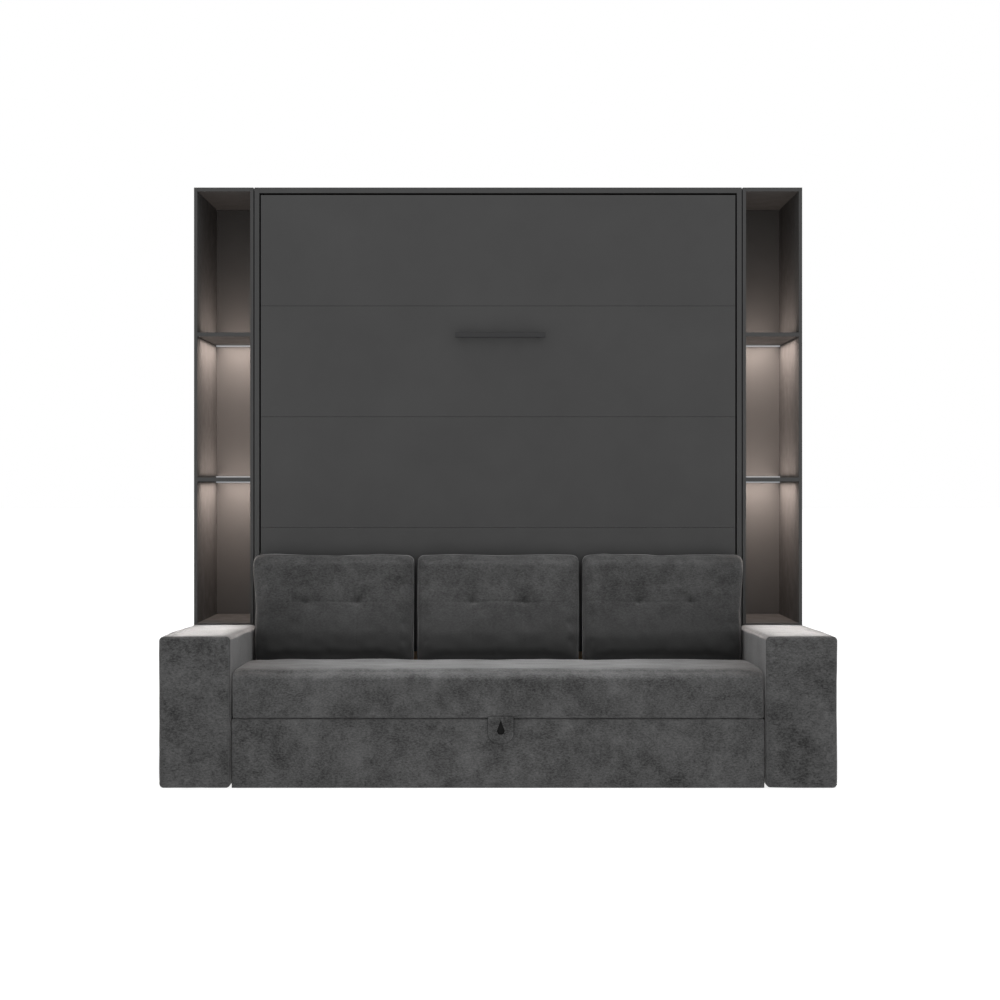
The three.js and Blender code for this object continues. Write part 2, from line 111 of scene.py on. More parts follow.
# The fronts are lit by the white world alone. These narrow beams light the tops of the seat and the arms.
SIDE_TONE = (1, 0.955, 0.925)
area_light("key_top", (0, -0.35, 3.8), (0, -0.35, 0), (1.5, 0.3), 4.9, spread=16)
for side in (-1, 1):
    x, y = side * 1.09, -0.25
    area_light(f"key_side_{side + 1}", (x, y, 3.2), (x, y, 0), (0.2, 0.62), 3.1, SIDE_TONE, 3)

# ---- Materials ------------------------------------------------------------------------------------------


class Finish:
    """A Principled material whose colour, roughness and relief vary by object coordinates."""

    def __init__(self, name, roughness=0.6, metallic=0.0, **sockets):
        self.material = bpy.data.materials.new(name)
        self.material.use_nodes = True
        self.tree = self.material.node_tree
        self.shader = self.tree.nodes["Principled BSDF"]
        self.shader.inputs["Roughness"].default_value = roughness
        self.shader.inputs["Metallic"].default_value = metallic
        for socket, value in sockets.items():
            self.shader.inputs[socket.replace("_", " ")].default_value = value
        self.place = self.add("ShaderNodeTexCoord").outputs["Object"]
        self.normal = None

    def add(self, kind, **values):
        node = self.tree.nodes.new(kind)
        for key, value in values.items():
            setattr(node, key, value)
        return node

    def feed(self, socket, value):
        if isinstance(value, bpy.types.NodeSocket):
            self.tree.links.new(value, socket)
        else:
            socket.default_value = value

    def stretched(self, stretch):
        mapping = self.add("ShaderNodeMapping")
        mapping.inputs["Scale"].default_value = stretch
        self.feed(mapping.inputs["Vector"], self.place)
        return mapping.outputs["Vector"]

    def noise(self, scale, detail=3.0, roughness=0.55, stretch=None, distortion=0.0):
        node = self.add("ShaderNodeTexNoise")
        self.feed(node.inputs["Vector"], self.stretched(stretch) if stretch else self.place)
        node.inputs["Scale"].default_value = scale
        node.inputs["Detail"].default_value = detail
        node.inputs["Roughness"].default_value = roughness
        node.inputs["Distortion"].default_value = distortion
        return node.outputs["Fac"]

    def wave(self, scale, direction, distortion=0.0):
        node = self.add("ShaderNodeTexWave", bands_direction=direction)
        self.feed(node.inputs["Vector"], self.place)
        node.inputs["Scale"].default_value = scale
        node.inputs["Distortion"].default_value = distortion
        return node.outputs["Fac"]

    def maths(self, operation, a, b=0.0):
        node = self.add("ShaderNodeMath", operation=operation)
        self.feed(node.inputs[0], a)
        self.feed(node.inputs[1], b)
        return node.outputs[0]

    def weighted(self, *pairs):
        """The sum of values times their weights."""
        total = None
        for value, weight in pairs:
            part = self.maths("MULTIPLY", value, weight)
            total = part if total is None else self.maths("ADD", total, part)
        return total

    def ramp(self, value, stops):
        node = self.add("ShaderNodeValToRGB")
        self.feed(node.inputs["Fac"], value)
        elements = node.color_ramp.elements
        while len(elements) < len(stops):
            elements.new(0.5)
        for element, (position, color) in zip(elements, stops):
            element.position = position
            grey = isinstance(color, (int, float))
            element.color = (color, color, color, 1) if grey else (*color, 1)
        return node.outputs["Color"]

    def span(self, value, low, high, to_low, to_high):
        node = self.add("ShaderNodeMapRange")
        for socket, number in zip(("From Min", "From Max", "To Min", "To Max"), (low, high, to_low, to_high)):
            node.inputs[socket].default_value = number
        self.feed(node.inputs["Value"], value)
        return node.outputs["Result"]

    def mix(self, factor, a, b):
        node = self.add("ShaderNodeMix", data_type="RGBA")
        self.feed(node.inputs[0], factor)
        self.feed(node.inputs[6], a if isinstance(a, bpy.types.NodeSocket) else (*a, 1))
        self.feed(node.inputs[7], b if isinstance(b, bpy.types.NodeSocket) else (*b, 1))
        return node.outputs[2]

    def color(self, value):
        self.feed(self.shader.inputs["Base Color"], value)

    def rough(self, value):
        self.feed(self.shader.inputs["Roughness"], value)

    def bump(self, height, strength, distance):
        node = self.add("ShaderNodeBump")
        node.inputs["Strength"].default_value = strength
        node.inputs["Distance"].default_value = distance
        self.feed(node.inputs["Height"], height)
        if self.normal:
            self.feed(node.inputs["Normal"], self.normal)
        self.normal = node.outputs["Normal"]
        self.feed(self.shader.inputs["Normal"], self.normal)

    def axes(self):
        node = self.add("ShaderNodeSeparateXYZ")
        self.feed(node.inputs[0], self.place)
        return node.outputs


def velvet(name, dark, light, sheen, foot=None):
    """Short-pile chenille: a fine crosswise nap over softly clouded greys.

    Below the foot height, if one is given, it fades to a plain dim grey, as painted shade.
    """
    made = Finish(
        name,
        roughness=0.9,
        Sheen_Weight=sheen,
        Sheen_Roughness=0.42,
        Sheen_Tint=(0.95, 0.94, 0.94, 1),
        Specular_IOR_Level=0.22,
    )
    broad = made.noise(7, 3, 0.5)
    patches = made.noise(24, 4, 0.6, distortion=0.4)
    tufts = made.noise(190, 3, 0.6, stretch=(0.55, 1, 1))
    fibres = made.noise(620, 2, 0.6, stretch=(0.35, 1, 1))
    value = made.weighted((broad, 0.23), (patches, 0.23), (tufts, 0.31), (fibres, 0.23))
    color = made.ramp(value, [(0.37, dark), (0.63, light)])
    if foot:
        # painted shade: the colour darkens towards the foot
        height = made.span(made.axes()[2], foot - 0.14, foot + 0.1, 0, 1)
        color = made.mix(height, tuple([0.3 * (dark + light)] * 3), color)
    made.color(color)
    made.rough(made.span(patches, 0.3, 0.7, 0.82, 0.97))
    made.bump(patches, 0.1, 2.2 * MM)
    made.bump(tufts, 0.3, 0.7 * MM)
    made.bump(fibres, 0.5, 0.3 * MM)
    return made.material


def laminate(name, backs=None):
    """Matt melamine board with a fine grain. Behind the middle of the backs node it is brown hardboard."""
    made = Finish(name, roughness=0.5, Specular_IOR_Level=0.25)
    value = made.weighted((made.noise(3.2, 3, 0.5), 0.6), (made.noise(640, 2, 0.6), 0.4))
    color = made.ramp(value, [(0.35, 0.044), (0.65, 0.050)])
    if backs:
        _, y, _ = made.axes()
        middle = sum(c[1] for c in corners(backs)) / 2
        raw = made.ramp(made.noise(90, 5, 0.7), [(0.35, (0.17, 0.10, 0.055)), (0.65, (0.25, 0.155, 0.09))])
        color = made.mix(made.maths("GREATER_THAN", y, middle), color, raw)
    made.color(color)
    made.rough(made.span(made.noise(14, 3, 0.55), 0.35, 0.65, 0.44, 0.56))
    made.bump(made.noise(1500, 2, 0.5), 0.16, 0.12 * MM)
    return made.material


def wood(name, dark, light, along="Z", roughness=0.5):
    """Planed timber with its grain along one axis."""
    made = Finish(name, roughness=roughness, Specular_IOR_Level=0.4, Coat_Weight=0.12, Coat_Roughness=0.35)
    squeeze = {"X": (0.06, 1, 1), "Y": (1, 0.06, 1), "Z": (1, 1, 0.06)}[along]
    grain = made.noise(95, 5, 0.62, stretch=squeeze, distortion=1.2)
    rings = made.noise(18, 3, 0.5, stretch=squeeze, distortion=2.0)
    pores = made.noise(900, 2, 0.5, stretch=squeeze)
    value = made.weighted((grain, 0.45), (rings, 0.4), (pores, 0.15))
    mid = tuple((a + b) / 2 for a, b in zip(dark, light))
    made.color(made.ramp(value, [(0.32, dark), (0.5, mid), (0.68, light)]))
    made.rough(made.span(grain, 0.3, 0.7, roughness + 0.08, roughness - 0.05))
    made.bump(made.weighted((grain, 0.5), (pores, 0.5)), 0.25, 0.25 * MM)
    return made.material


def metal(name, color, roughness, metallic=1.0, grain=700, stretch=(1, 1, 0.05), relief=0.08, variation=0.12):
    """Plated, brushed or coated steel."""
    made = Finish(name, roughness=roughness, metallic=metallic)
    brushed = made.noise(grain, 3, 0.6, stretch=stretch)
    cloud = made.noise(11, 3, 0.55)
    value = made.weighted((brushed, 0.5), (cloud, 0.5))
    dark = tuple(c * (1 - variation) for c in color)
    light = tuple(min(1, c * (1 + variation)) for c in color)
    made.color(made.ramp(value, [(0.35, dark), (0.65, light)]))
    made.rough(made.span(value, 0.35, 0.65, roughness * 0.82, roughness * 1.2))
    made.bump(brushed, relief, 0.1 * MM)
    return made.material


def ticking():
    """Knitted mattress cover in warm white."""
    made = Finish(
        "mattress_ticking",
        roughness=0.85,
        Sheen_Weight=0.35,
        Sheen_Roughness=0.45,
        Specular_IOR_Level=0.2,
    )
    knit = made.maths("MULTIPLY", made.wave(330, "X", 0.4), made.wave(330, "Z", 0.4))
    cloud = made.noise(7, 3, 0.5)
    value = made.weighted((cloud, 0.55), (knit, 0.45))
    made.color(made.ramp(value, [(0.2, (0.66, 0.645, 0.61)), (0.6, (0.80, 0.785, 0.75))]))
    made.rough(made.span(cloud, 0.3, 0.7, 0.78, 0.92))
    made.bump(knit, 0.35, 0.4 * MM)
    made.bump(made.noise(60, 3, 0.6), 0.15, 1.2 * MM)
    return made.material


def webbing(name, dark, light):
    """Flat woven tape."""
    made = Finish(name, roughness=0.7, Sheen_Weight=0.3, Sheen_Roughness=0.4, Specular_IOR_Level=0.3)
    weave = made.maths("MULTIPLY", made.wave(260, "DIAGONAL", 0.2), made.wave(210, "Z", 0.2))
    value = made.weighted((weave, 0.6), (made.noise(50, 3, 0.6), 0.4))
    made.color(made.ramp(value, [(0.2, dark), (0.7, light)]))
    made.rough(made.span(weave, 0, 1, 0.62, 0.8))
    made.bump(weave, 0.6, 0.5 * MM)
    return made.material


def moulded(name, dark, light, roughness):
    """Moulded rubber or plastic with a fine grain."""
    made = Finish(name, roughness=roughness, Specular_IOR_Level=0.35)
    grain = made.noise(420, 3, 0.6)
    made.color(made.ramp(made.noise(40, 3, 0.6), [(0.35, dark), (0.65, light)]))
    made.rough(made.span(grain, 0.3, 0.7, roughness - 0.08, roughness + 0.08))
    made.bump(grain, 0.3, 0.2 * MM)
    return made.material


def diffuser():
    """The milky cover of a light bar, with the faint points of its diodes."""
    made = Finish("light_diffuser", roughness=0.35, Emission_Strength=0.30)
    points = made.wave(95, "X")
    glow = made.ramp(points, [(0.1, (0.72, 0.78, 0.84)), (0.9, (0.86, 0.91, 0.95))])
    made.color(made.ramp(made.noise(60, 2), [(0.3, (0.14, 0.145, 0.15)), (0.7, (0.17, 0.175, 0.18))]))
    made.feed(made.shader.inputs["Emission Color"], glow)
    made.rough(made.span(points, 0, 1, 0.3, 0.4))
    return made.material


GRAPHITE = laminate("graphite_laminate")
BACK = laminate("back_board", backs="unit_left_back")
PINE = wood("frame_timber", (0.42, 0.25, 0.11), (0.66, 0.45, 0.25))
PLYWOOD = wood("plywood", (0.50, 0.33, 0.17), (0.68, 0.49, 0.29), along="X", roughness=0.58)
BEECH = wood("slat_beech", (0.60, 0.40, 0.22), (0.76, 0.56, 0.35), along="X", roughness=0.42)
ZINC = metal("zinc_plate", (0.56, 0.57, 0.58), 0.34)
CHROME = metal("chrome_rod", (0.74, 0.75, 0.76), 0.1, grain=1200, relief=0.03, variation=0.04)
STRUT_PAINT = metal("strut_enamel", (0.016, 0.016, 0.017), 0.3, metallic=0.0, grain=300, stretch=(1, 1, 1))
LEG_COAT = metal(
    "leg_powder_coat", (0.022, 0.022, 0.024), 0.5, metallic=0.0, grain=900, stretch=(1, 1, 1), relief=0.35
)
BLACK_METAL = metal(
    "handle_black_metal", (0.020, 0.020, 0.021), 0.45, metallic=0.3, stretch=(0.05, 1, 1), relief=0.12
)
SOFA = velvet("sofa_velvet", 0.010, 0.103, 0.28)
# the cushions' velvet darkens towards their foot as painted shade
CUSHION = velvet("cushion_velvet", 0.016, 0.089, 0.29, foot=0.59)
# lighter than the sofa velvet: the cord sewn round the arms' fronts is real, its light tone a painted
# highlight on their edges
SEAM_HIGHLIGHT = velvet("seam_painted_highlight_velvet", 0.045, 0.085, 0.25)
PIPING = velvet("piping_velvet", 0.026, 0.060, 0.15)
# dark velvet for the cord round the pull tab, a painted shadow
TAB_SHADOW_CORD = velvet("tab_outline_painted_shadow", 0.016, 0.034, 0.05)
SHADOW = velvet("eye_painted_shadow", 0.002, 0.006, 0.0)
TICKING = ticking()
TAPE = webbing("mattress_tape", (0.30, 0.29, 0.27), (0.42, 0.41, 0.38))
STRAP = webbing("strap_weave", (0.012, 0.012, 0.014), (0.045, 0.045, 0.05))
RUBBER = moulded("rubber", (0.012, 0.012, 0.012), (0.026, 0.026, 0.026), 0.82)
PLASTIC = moulded("black_plastic", (0.014, 0.014, 0.015), (0.024, 0.024, 0.025), 0.45)
DIFFUSER = diffuser()

# ---- The CAD nodes' own finishes ------------------------------------------------------------------------

FINISHES = {
    "case_back": BACK,
    "wall_rail": PINE,
    "slat_base": BEECH,
    "base_floor": PLYWOOD,
    "seat_board": GRAPHITE,
    "bed_handle": BLACK_METAL,
    "folding_leg": LEG_COAT,
}
PREFIXES = [
    ("unit_left_back", BACK),
    ("unit_right_back", BACK),
    ("unit_left_led", DIFFUSER),
    ("unit_right_led", DIFFUSER),
    ("case_mechanism_plate", ZINC),
    ("bed_mechanism_plate", ZINC),
    ("seat_runner", ZINC),
    ("strut_cylinder", STRUT_PAINT),
    ("strut_rod", CHROME),
    ("bed_front_board", GRAPHITE),
    ("bed_", PINE),
]


def finish_of(name):
    """A node's own finish, or that of the first prefix its name has, or the laminate of the boards."""
    if name in FINISHES:
        return FINISHES[name]
    return next((material for prefix, material in PREFIXES if name.startswith(prefix)), GRAPHITE)


for name, node in NODES.items():
    node.data.materials.clear()
    node.data.materials.append(finish_of(name))

# ---- Mesh helpers ---------------------------------------------------------------------------------------


def waves(points, size, seed):
    """A smooth random field of about -1 to 1, whose bumps are about size metres across."""
    count = 14
    random = np.random.default_rng(seed)
    ways = random.normal(size=(count, 3))
    ways /= np.linalg.norm(ways, axis=1, keepdims=True)
    lengths = 2 * size * random.uniform(0.7, 1.5, count)
    phases = random.uniform(0, 2 * math.pi, count)
    total = np.sin(2 * math.pi * points @ (ways / lengths[:, None]).T + phases).sum(1)
    return total / math.sqrt(count / 2) / 1.6


def bell(distance, width):
    """1 at no distance, and almost 0 past twice the width."""
    return np.exp(-((distance / width) ** 2))


def step_up(value, low, high):
    """0 up to low, 1 from high on, and a smooth rise between."""
    t = np.clip((value - low) / (high - low), 0, 1)
    return t * t * (3 - 2 * t)


def ticks(low, high, step, radius, arc):
    """Places along one side of a rounded box: evenly spaced, and close together over its round edges."""
    edge = radius * np.tan(np.linspace(math.pi / 4, 0, arc + 1))
    count = max(1, round((high - low - 2 * radius) / step))
    flat = np.linspace(low + radius, high - radius, count + 1)[1:-1]
    return np.concatenate([low + radius - edge, flat, (high - radius + edge)[::-1]])


def box_mesh(axes):
    """The points and quads of a box's surface, with a point at each tick."""
    points, quads, count = [], [], 0
    for a in range(3):
        u, v = (a + 1) % 3, (a + 2) % 3
        for side in (0, -1):
            grid = np.zeros((len(axes[u]), len(axes[v]), 3))
            grid[..., a] = axes[a][side]
            grid[..., u] = axes[u][:, None]
            grid[..., v] = axes[v][None, :]
            index = np.arange(grid[..., 0].size).reshape(grid.shape[:2]) + count
            around = [index[:-1, :-1], index[1:, :-1], index[1:, 1:], index[:-1, 1:]]
            if side == 0:
                around.reverse()
            quads.append(np.stack([corner.ravel() for corner in around], 1))
            points.append(grid.reshape(-1, 3))
            count += index.size
    points, quads = np.concatenate(points), np.concatenate(quads)
    _, first, inverse = np.unique(np.round(points, 6), axis=0, return_index=True, return_inverse=True)
    return points[first], inverse.reshape(-1)[quads]


def rounded_box(low, high, radius, step, arc=4):
    """The points, quads and outward normals of a box with round edges.

    radius is one length, or one each along x, y and z.
    """
    low, high = np.array(low, float), np.array(high, float)
    radius = np.broadcast_to(np.asarray(radius, float), 3)
    points, quads = box_mesh([ticks(low[a], high[a], step, radius[a], arc) for a in range(3)])
    core = np.clip(points, low + radius, high - radius)
    out = (points - core) / radius
    out /= np.linalg.norm(out, axis=1, keepdims=True)
    normals = out / radius
    return core + radius * out, quads, normals / np.linalg.norm(normals, axis=1, keepdims=True)


def crown(points, low, high, amount):
    """How far each point of a box's faces rises, most in the middle of a face and not at all at its edges."""
    centre, half = (low + high) / 2, (high - low) / 2
    share = np.clip(np.abs((points - centre) / half), 0, 1) ** 2
    room = np.sort(1 - share, axis=1)
    return amount * room[:, 1] * room[:, 2]


def make(name, points, faces, material, body, slot, smooth=True):
    """A visual piece that rides on a body."""
    mesh = bpy.data.meshes.new(name)
    mesh.from_pydata(np.asarray(points, float).tolist(), [], [list(map(int, face)) for face in faces])
    mesh.validate()
    mesh.polygons.foreach_set("use_smooth", [smooth] * len(mesh.polygons))
    mesh.materials.append(material)
    piece = bpy.data.objects.new(name, mesh)
    scene.collection.objects.link(piece)
    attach(piece, body)
    return piece


def merged(*parts):
    """Several (points, faces) as one."""
    points, faces, count = [], [], 0
    for part_points, part_faces in parts:
        points.append(np.asarray(part_points, float))
        faces += [[int(i) + count for i in face] for face in part_faces]
        count += len(part_points)
    return np.concatenate(points), faces


def sweep(path, section, side, closed=False):
    """A section of (u, v) points carried along a path. u runs along side, v across both it and the path."""
    path = np.asarray(path, float)
    count, around = len(path), len(section)
    if closed:
        ahead, behind = np.roll(path, -1, 0), np.roll(path, 1, 0)
    else:
        ahead = np.vstack([path[1:], path[-1:]])
        behind = np.vstack([path[:1], path[:-1]])
    along = ahead - behind
    along /= np.linalg.norm(along, axis=1, keepdims=True)
    side = np.broadcast_to(np.asarray(side, float), path.shape)
    u = side - (side * along).sum(1, keepdims=True) * along
    u /= np.linalg.norm(u, axis=1, keepdims=True)
    v = np.cross(along, u)
    section = np.asarray(section, float)
    points = path[:, None] + section[None, :, :1] * u[:, None] + section[None, :, 1:] * v[:, None]
    faces = []
    for i in range(count if closed else count - 1):
        a, b = i * around, (i + 1) % count * around
        faces += [[a + j, a + (j + 1) % around, b + (j + 1) % around, b + j] for j in range(around)]
    if not closed:
        faces.append(list(range(around))[::-1])
        faces.append([(count - 1) * around + j for j in range(around)])
    return points.reshape(-1, 3), faces


def circle(radius, sides):
    turn = np.linspace(0, 2 * math.pi, sides, endpoint=False)
    return np.stack([radius * np.cos(turn), radius * np.sin(turn)], 1)


def lathe(profile, centre, axis, sides=28):
    """A closed turned shape. The profile lists (distance along the axis, radius), and closes at both ends."""
    axis = Vector(axis).normalized()
    across = axis.orthogonal().normalized()
    other = axis.cross(across)
    points, faces = [], []
    for along, radius in profile:
        for k in range(sides):
            turn = 2 * math.pi * k / sides
            ring = across * math.cos(turn) + other * math.sin(turn)
            points.append(Vector(centre) + axis * along + ring * radius)
    for i in range(len(profile) - 1):
        a, b = i * sides, (i + 1) * sides
        faces += [[a + k, a + (k + 1) % sides, b + (k + 1) % sides, b + k] for k in range(sides)]
    faces.append(list(range(sides))[::-1])
    faces.append([(len(profile) - 1) * sides + k for k in range(sides)])
    return np.array(points), faces


def outline_ring(half_width, low, high, radii, spacing):
    """The points of a rounded rectangle in x and z. radii are those of its lower and its upper corners."""
    ring = []
    places = [(half_width, low, -90), (half_width, high, 0), (-half_width, high, 90), (-half_width, low, 180)]
    for x, z, start in places:
        radius = radii[0] if z == low else radii[1]
        centre = (x - math.copysign(radius, x), z + (radius if z == low else -radius))
        for k in range(7):
            turn = math.radians(start + 15 * k)
            ring.append((centre[0] + radius * math.cos(turn), centre[1] + radius * math.sin(turn)))
    ring = np.array(ring + ring[:1])
    lengths = np.concatenate([[0], np.cumsum(np.linalg.norm(np.diff(ring, axis=0), axis=1))])
    count = max(12, round(lengths[-1] / spacing))
    at = np.linspace(0, lengths[-1], count, endpoint=False)
    return np.stack([np.interp(at, lengths, ring[:, 0]), np.interp(at, lengths, ring[:, 1])], 1)


def smoothed(path, rounds):
    """A closed path with its corners eased, round by round."""
    for _ in range(rounds):
        path = (np.roll(path, 1, 0) + 2 * path + np.roll(path, -1, 0)) / 4
    return path


def evaluated(piece):
    """The points and faces of a piece with its modifiers applied."""
    graph = bpy.context.evaluated_depsgraph_get()
    mesh = piece.evaluated_get(graph).to_mesh()
    points = np.array([v.co for v in mesh.vertices], float).reshape(-1, 3)
    faces = [list(p.vertices) for p in mesh.polygons]
    normals = np.array([v.normal for v in mesh.vertices], float).reshape(-1, 3)
    piece.evaluated_get(graph).to_mesh_clear()
    return points, faces, normals


def temporary(points, faces):
    """A work object, which discard() deletes again."""
    mesh = bpy.data.meshes.new("work")
    mesh.from_pydata(np.asarray(points, float).tolist(), [], [list(map(int, face)) for face in faces])
    piece = bpy.data.objects.new("work", mesh)
    scene.collection.objects.link(piece)
    return piece


def discard(piece):
    mesh = piece.data
    bpy.data.objects.remove(piece)
    bpy.data.meshes.remove(mesh)


def inflated(points, faces, voxel, pressure, cap, rounds):
    """The shape blown up as stuffed cloth: its points, faces and normals.

    It is remeshed evenly first, unless voxel is None. No point moves out further than cap, and none inward,
    as the filling keeps the edges square. The skin is then smoothed in rounds and divided once.
    """
    frames = 20
    piece = temporary(points, faces)
    if voxel:
        remesh = piece.modifiers.new("remesh", "REMESH")
        remesh.mode = "VOXEL"
        remesh.voxel_size = voxel
    bpy.context.view_layer.update()
    start, faces, normals = evaluated(piece)
    discard(piece)
    piece = temporary(start, faces)
    cloth = piece.modifiers.new("cloth", "CLOTH")
    cloth.settings.quality = 4
    cloth.settings.mass = 0.3
    cloth.settings.use_pressure = True
    cloth.settings.uniform_pressure_force = pressure
    cloth.settings.effector_weights.gravity = 0
    cloth.collision_settings.use_collision = False
    cloth.point_cache.frame_start, cloth.point_cache.frame_end = 1, frames
    for number in range(1, frames + 1):
        scene.frame_set(number)
    moved, _, _ = evaluated(piece)
    piece.modifiers.remove(cloth)
    scene.frame_set(1)
    way = moved - start
    out = (way * normals).sum(1, keepdims=True)
    moved = start + 0.25 * np.clip(way - out * normals, -cap, cap) + np.clip(out, 0, cap) * normals
    for vertex, co in zip(piece.data.vertices, moved):
        vertex.co = co
    smooth = piece.modifiers.new("smooth", "SMOOTH")
    smooth.factor = 0.5
    smooth.iterations = rounds
    divide = piece.modifiers.new("divide", "SUBSURF")
    divide.levels = 1
    bpy.context.view_layer.update()
    points, faces, normals = evaluated(piece)
    discard(piece)
    return points, faces, normals


# ---- Back cushions --------------------------------------------------------------------------------------

CUSHION_HALF = 0.3125  # half the width of one cushion
CENTRE_PROUD = 0.0025  # how far each end of the centre cushion stands past its CAD solid
GAP_SHIFT = 0.010  # how far the outer cushions' inner ends stand back from their CAD solids
SIDE_PROUD = 0.012  # how far the outer cushions stand past their CAD solids, above the case sides' reach
TUFT_X, TUFT_Z = 0.1, 0.632  # each tuft's distance from a cushion's middle, and its height
TUFT_SHIFT = 0.015  # how far outward the outer cushions' pairs of tufts sit


def cushion_depth(z):
    """How deep a back cushion is at each height, from its foot to its top."""
    low, high = corners("back_cushion_centre")
    share = (z - low[2]) / (high[2] - low[2])
    return np.interp(share, [0, 0.25, 0.5, 0.72, 1.0], [0.163, 0.162, 0.138, 0.116, 0.104])


def cushion_skin():
    """One stuffed back cushion about x = 0, before its tufts."""
    low, high = corners("back_cushion_centre")
    back = high[1]
    flat = 0.13  # the depth of the box before it is given the cushion's own depth at each height
    inset = 0.010  # what the filling pushes out again
    points, quads, _ = rounded_box(
        (-CUSHION_HALF - 0.002, back - flat + inset, low[2] - 0.016),
        (CUSHION_HALF + 0.002, back - 0.004, high[2] - 0.001),
        (0.024, 0.034, 0.024),
        0.02,
    )
    points[:, 1] = back - (back - points[:, 1]) * (cushion_depth(points[:, 2]) / flat)
    return inflated(points, quads, voxel=0.0065, pressure=4.0, cap=0.013, rounds=7)


def tufted(points, normals, seed, middle):
    """The skin with two tufts about x = middle, the sewn lines through them and the waves of its edges."""
    low, high = corners("back_cushion_centre")
    front = step_up(-normals[:, 1], 0.2, 0.8)
    x, z = points[:, 0] - middle, points[:, 2]
    sink = np.zeros(len(points))
    for side in (-1, 1):
        away = np.hypot(x - side * TUFT_X, (z - TUFT_Z) * 1.15)
        sink += 10 * MM * bell(away, 0.015) + 8 * MM * bell(away, 0.055)
        turn = np.arctan2(z - TUFT_Z, x - side * TUFT_X)
        sink += 0.45 * MM * np.cos(5 * turn + seed) * bell(away - 0.034, 0.02)
        seam = x - side * TUFT_X + 1.5 * MM * np.sin(40 * z)
        sink += 0.9 * MM * bell(seam, 0.0045) * bell(z - TUFT_Z, 0.16)
    wander = TUFT_Z - 3 * MM + 1.6 * MM * np.sin(19 * x + seed)
    sink += 1.2 * MM * bell(z - wander, 0.005) * bell(x, 0.25)
    sink += 1.6 * MM * waves(points, 0.09, seed) + 0.7 * MM * waves(points, 0.028, seed + 1)
    moved = points - normals * (sink * front)[:, None]
    moved -= normals * (1.0 * MM * waves(points, 0.05, seed + 2) * (1 - front))[:, None]
    top = step_up(z, low[2] + 0.30, high[2])
    lobes = np.cos(2 * math.pi * (np.abs(x) - 0.19) / 0.42)
    moved[:, 2] += top * (2.4 * MM * lobes - 4 * MM + 1.5 * MM * waves(points * [1, 0, 0], 0.06, seed + 3))
    moved[:, 0] = np.clip(moved[:, 0], -CUSHION_HALF, CUSHION_HALF)
    moved[:, 1] = np.minimum(moved[:, 1], high[1] - 0.5 * MM)
    moved[:, 2] = np.clip(moved[:, 2], low[2] + 0.5 * MM, high[2] + 2 * MM)
    return moved


def cushion_piping(points, faces):
    """A thin sewn edge round the cushion's face, laid on its skin."""
    low, high = corners("back_cushion_centre")
    tree = BVHTree.FromPolygons([Vector(p) for p in points], faces)
    ring = outline_ring(CUSHION_HALF + 0.03, low[2] - 0.03, high[2] + 0.03, (0.06, 0.07), 0.006)
    path = []
    for x, z in ring:
        core_z = min(max(z, low[2] + 0.05), high[2] - 0.07)
        core = Vector((min(max(x, -0.24), 0.24), 0, core_z))
        core.y = high[1] - float(cushion_depth(core_z)) + 0.034
        start = Vector((x, core.y, z))
        hit = tree.ray_cast(start, (core - start).normalized())[0]
        if hit:
            path.append(hit)
    return sweep(smoothed(np.array(path), 3), circle(1.6 * MM, 8), closed=True, side=(0, 1, 0))


def back_cushions():
    """Three cushions from one simulated skin, each with its own tufts and waves."""
    skin, faces, normals = cushion_skin()
    for i, side in enumerate(("left", "centre", "right")):
        node = f"back_cushion_{side}"
        low, high = corners(node)
        shift = np.array([(low[0] + high[0]) / 2, 0, 0])
        points = tufted(skin, normals, 3 + 11 * i, (i - 1) * TUFT_SHIFT)
        if i == 1:
            points[:, 0] *= 1 + CENTRE_PROUD / CUSHION_HALF
        else:
            out = points[:, 0] * (i - 1)
            rise = step_up(points[:, 2], 0.59, 0.76)
            out += SIDE_PROUD * step_up(out, 0.15, CUSHION_HALF) * rise
            out += GAP_SHIFT * step_up(-out, 0.05, CUSHION_HALF)
            points[:, 0] = out * (i - 1)
        cushion = make(f"cushion_{side}", points + shift, faces, CUSHION, "bed", "cushion_fabric")
        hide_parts(node)
        piping, piping_faces = cushion_piping(points, faces)
        edge = make(f"cushion_{side}_piping", piping + shift, piping_faces, PIPING, "bed", "cushion_fabric")
        if i != 1:
            for piece in (cushion, edge):
                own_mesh(piece)


# ---- Seat, arms and base --------------------------------------------------------------------------------


SEAT_SAG = 7 * MM  # how much lower the seat's rear is than its front
ARM_SAG = 13 * MM  # the same for the arms
ARM_PROUD = 2.5 * MM  # how far the arms' outer faces stand past their CAD solids
ARM_RADIUS = np.array([0.016, 0.009, 0.016])


